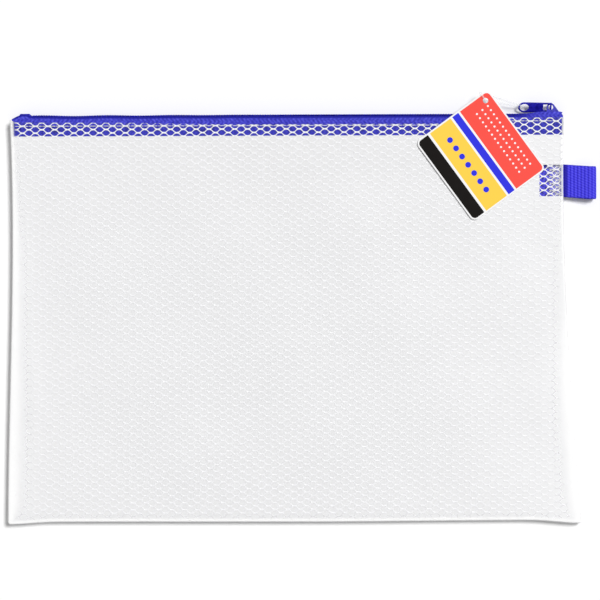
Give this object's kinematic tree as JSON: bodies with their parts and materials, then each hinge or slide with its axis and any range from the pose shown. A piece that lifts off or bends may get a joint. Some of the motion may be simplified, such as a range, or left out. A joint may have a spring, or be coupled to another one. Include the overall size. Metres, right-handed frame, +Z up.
{
  "type": "document wallet",
  "caption": "Flat zipped document wallet of clear netted film, with a slider and pull tab on the top edge, a webbing loop on one side and a hang tag.",
  "frame": {"origin": "on the flat outer face of the back panel, at the middle of the pocket", "axes": "+X along the width towards the webbing loop, +Y towards the zipper, +Z up from the back panel to the front panel"},
  "size_m": [0.3475, 0.2538, 0.0125],
  "materials": {
    "netted_film": "clear flexible film with a white net laminated in",
    "zipper_tape": "blue woven twill",
    "zipper_loops": "dark blue nylon",
    "painted_slider": "dark blue enamel",
    "webbing": "blue ribbed webbing",
    "tag_card": "coated printed card",
    "clear_loop": "clear plastic",
    "white_thread": "white thread"
  },
  "bodies": {
    "wallet": {"front_panel": "netted_film", "back_panel": "netted_film", "front_tape": "zipper_tape", "back_tape": "zipper_tape", "front_coil": "zipper_loops", "back_coil": "zipper_loops", "bottom_stop": "zipper_loops", "webbing_tail": "webbing", "front_seam_thread": "white_thread", "back_seam_thread": "white_thread", "left_seam_thread": "white_thread", "right_seam_thread": "white_thread", "bottom_seam_thread": "white_thread"},
    "slider": {"slider_body": "painted_slider", "slider_bridge": "painted_slider"},
    "pull": {"pull_tab": "painted_slider"},
    "fastener": {"tag_loop": "clear_loop"},
    "tag": {"tag_card": "tag_card"},
    "strap": {"webbing_loop": "webbing"}
  },
  "joints": [
    {"name": "slider_travel", "type": "slide", "parent": "wallet", "child": "slider", "axis": [-1, 0, 0], "range_m": [0, 0.3026], "deforming": ["front_coil", "back_coil"]},
    {"name": "pull_swing", "type": "hinge", "parent": "slider", "child": "pull", "pos_m": [0.1536, 0.1238, 0.00495], "axis": [0, 0, -1], "range_deg": [0, 150]},
    {"name": "fastener_swing", "type": "hinge", "parent": "pull", "child": "fastener", "pos_m": [0.138, 0.1238, 0.00495], "axis": [0, 0, -1], "range_deg": [-10, 40]},
    {"name": "tag_turn", "type": "hinge", "parent": "fastener", "child": "tag", "pos_m": [0.11477, 0.12742, 0.01075], "axis": [0, 0, 1], "range_deg": [-20, 20]},
    {"name": "strap_bend", "type": "hinge", "parent": "wallet", "child": "strap", "pos_m": [0.1628, 0.0804, 0.00495], "axis": [0, -1, 0], "range_deg": [0, 90]}
  ]
}
